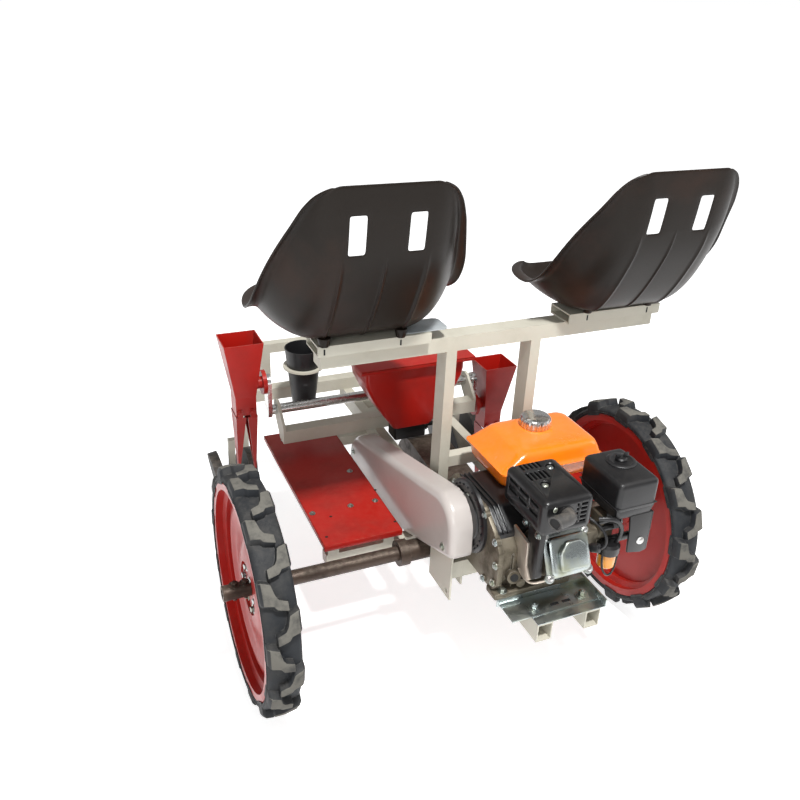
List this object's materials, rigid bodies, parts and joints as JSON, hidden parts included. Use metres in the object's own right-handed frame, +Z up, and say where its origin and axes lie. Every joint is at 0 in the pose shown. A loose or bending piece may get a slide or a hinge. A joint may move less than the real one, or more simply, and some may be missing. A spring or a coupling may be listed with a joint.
{
  "type": "ride-on vegetable transplanter",
  "caption": "Small self-propelled vegetable transplanter: petrol engine and big lugged drive wheels in front, bucket seats on a cross beam, duckbill planting cups on a cranked shaft.",
  "frame": {"origin": "on the ground under the centre of the overall box", "axes": "+X from the belt cover side to the other side, +Y from the engine towards the planting cups and handlebar, +Z up"},
  "size_m": [1.292, 1.565, 1.27],
  "materials": {
    "tyre": "matte",
    "red_paint": "satin",
    "frame_paint": "satin",
    "cover_paint": "gloss",
    "axle_steel": "greasy",
    "seat_plastic": "satin",
    "zinc": "zinc plated",
    "engine_aluminium": "cast",
    "black_metal": "satin",
    "tank_orange": "gloss",
    "black_plastic": "satin",
    "grip_rubber": "matte",
    "bright_steel": "machined"
  },
  "bodies": {
    "chassis": {"air_cleaner": "black_plastic", "axle_housings": "axle_steel", "belt_cover": "cover_paint", "carburettor": "engine_aluminium", "chassis_rails": "frame_paint", "crankcase": "engine_aluminium", "cylinder": "engine_aluminium", "drive_case": "black_metal", "engine_channels": "zinc", "engine_frame": "frame_paint", "fan_housing": "black_metal", "floor_plates": "red_paint", "floor_supports": "frame_paint", "fuel_tank": "tank_orange", "gear_case": "axle_steel", "handle_grips": "grip_rubber", "handlebar": "frame_paint", "hopper": "red_paint", "metering_box": "black_metal", "muffler": "black_metal", "planter_beam": "frame_paint", "pot_rings": "frame_paint", "press_arms": "frame_paint", "rear_frame": "frame_paint", "seat_channels": "frame_paint", "seat_frame": "frame_paint", "seat_left": "seat_plastic", "seat_right": "seat_plastic", "seedling_pots": "black_plastic", "side_plates": "frame_paint"},
    "wheel_left": {"tyre_left": "tyre", "rim_left": "red_paint", "axle_tube_left": "axle_steel"},
    "wheel_right": {"tyre_right": "tyre", "rim_right": "red_paint", "axle_tube_right": "axle_steel"},
    "planting_shaft": {"planting_shaft": "bright_steel"},
    "hopper_lid": {"hopper_lid": "red_paint"},
    "planter_left": {"planter_cup_left": "red_paint"},
    "jaw_outer_left": {"jaw_outer_left": "red_paint"},
    "press_wheel_outer_left": {"press_wheel_outer_left": "grip_rubber"},
    "jaw_inner_left": {"jaw_inner_left": "red_paint"},
    "press_wheel_inner_left": {"press_wheel_inner_left": "grip_rubber"},
    "planter_right": {"planter_cup_right": "red_paint"},
    "jaw_outer_right": {"jaw_outer_right": "red_paint"},
    "press_wheel_outer_right": {"press_wheel_outer_right": "grip_rubber"},
    "jaw_inner_right": {"jaw_inner_right": "red_paint"},
    "press_wheel_inner_right": {"press_wheel_inner_right": "grip_rubber"}
  },
  "joints": [
    {"name": "wheel_left_spin", "type": "hinge", "parent": "chassis", "child": "wheel_left", "pos_m": [-0.57, -0.3675, 0.3], "axis": [1, 0, 0], "continuous": true},
    {"name": "wheel_right_spin", "type": "hinge", "parent": "chassis", "child": "wheel_right", "pos_m": [0.5, -0.3675, 0.3], "axis": [1, 0, 0], "continuous": true},
    {"name": "planting_shaft_spin", "type": "hinge", "parent": "chassis", "child": "planting_shaft", "pos_m": [-0.035, 0.2025, 0.461], "axis": [1, 0, 0], "continuous": true},
    {"name": "planter_left_pivot", "type": "hinge", "parent": "planting_shaft", "child": "planter_left", "pos_m": [-0.447, 0.2025, 0.556], "axis": [1, 0, 0], "continuous": true},
    {"name": "jaw_outer_left_open", "type": "hinge", "parent": "planter_left", "child": "jaw_outer_left", "pos_m": [-0.465, 0.2025, 0.484], "axis": [0, 1, 0], "range_deg": [-6, 8]},
    {"name": "press_wheel_outer_left_spin", "type": "hinge", "parent": "chassis", "child": "press_wheel_outer_left", "pos_m": [-0.48836, 0.4285, 0.10108], "axis": [-0.9848, 0, -0.1736], "continuous": true},
    {"name": "jaw_inner_left_open", "type": "hinge", "parent": "planter_left", "child": "jaw_inner_left", "pos_m": [-0.429, 0.2025, 0.484], "axis": [0, -1, 0], "range_deg": [-6, 8]},
    {"name": "press_wheel_inner_left_spin", "type": "hinge", "parent": "chassis", "child": "press_wheel_inner_left", "pos_m": [-0.40564, 0.4285, 0.10108], "axis": [0.9848, 0, -0.1736], "continuous": true},
    {"name": "planter_right_pivot", "type": "hinge", "parent": "planting_shaft", "child": "planter_right", "pos_m": [0.377, 0.2025, 0.366], "axis": [1, 0, 0], "continuous": true},
    {"name": "jaw_outer_right_open", "type": "hinge", "parent": "planter_right", "child": "jaw_outer_right", "pos_m": [0.395, 0.2025, 0.294], "axis": [0, -1, 0], "range_deg": [-6, 8]},
    {"name": "press_wheel_outer_right_spin", "type": "hinge", "parent": "chassis", "child": "press_wheel_outer_right", "pos_m": [0.41836, 0.4285, 0.10108], "axis": [0.9848, 0, -0.1736], "continuous": true},
    {"name": "jaw_inner_right_open", "type": "hinge", "parent": "planter_right", "child": "jaw_inner_right", "pos_m": [0.359, 0.2025, 0.294], "axis": [0, 1, 0], "range_deg": [-6, 8]},
    {"name": "press_wheel_inner_right_spin", "type": "hinge", "parent": "chassis", "child": "press_wheel_inner_right", "pos_m": [0.33564, 0.4285, 0.10108], "axis": [-0.9848, 0, -0.1736], "continuous": true},
    {"name": "hopper_lid_hinge", "type": "hinge", "parent": "chassis", "child": "hopper_lid", "pos_m": [0.015, 0.1615, 0.632], "axis": [-1, 0, 0], "range_deg": [0, 100]}
  ],
  "couplings": [
    {"joint": "planter_left_pivot", "follows": "planting_shaft_spin", "ratio": -1},
    {"joint": "jaw_inner_left_open", "follows": "jaw_outer_left_open", "ratio": 1},
    {"joint": "planter_right_pivot", "follows": "planting_shaft_spin", "ratio": -1},
    {"joint": "jaw_inner_right_open", "follows": "jaw_outer_right_open", "ratio": 1}
  ]
}
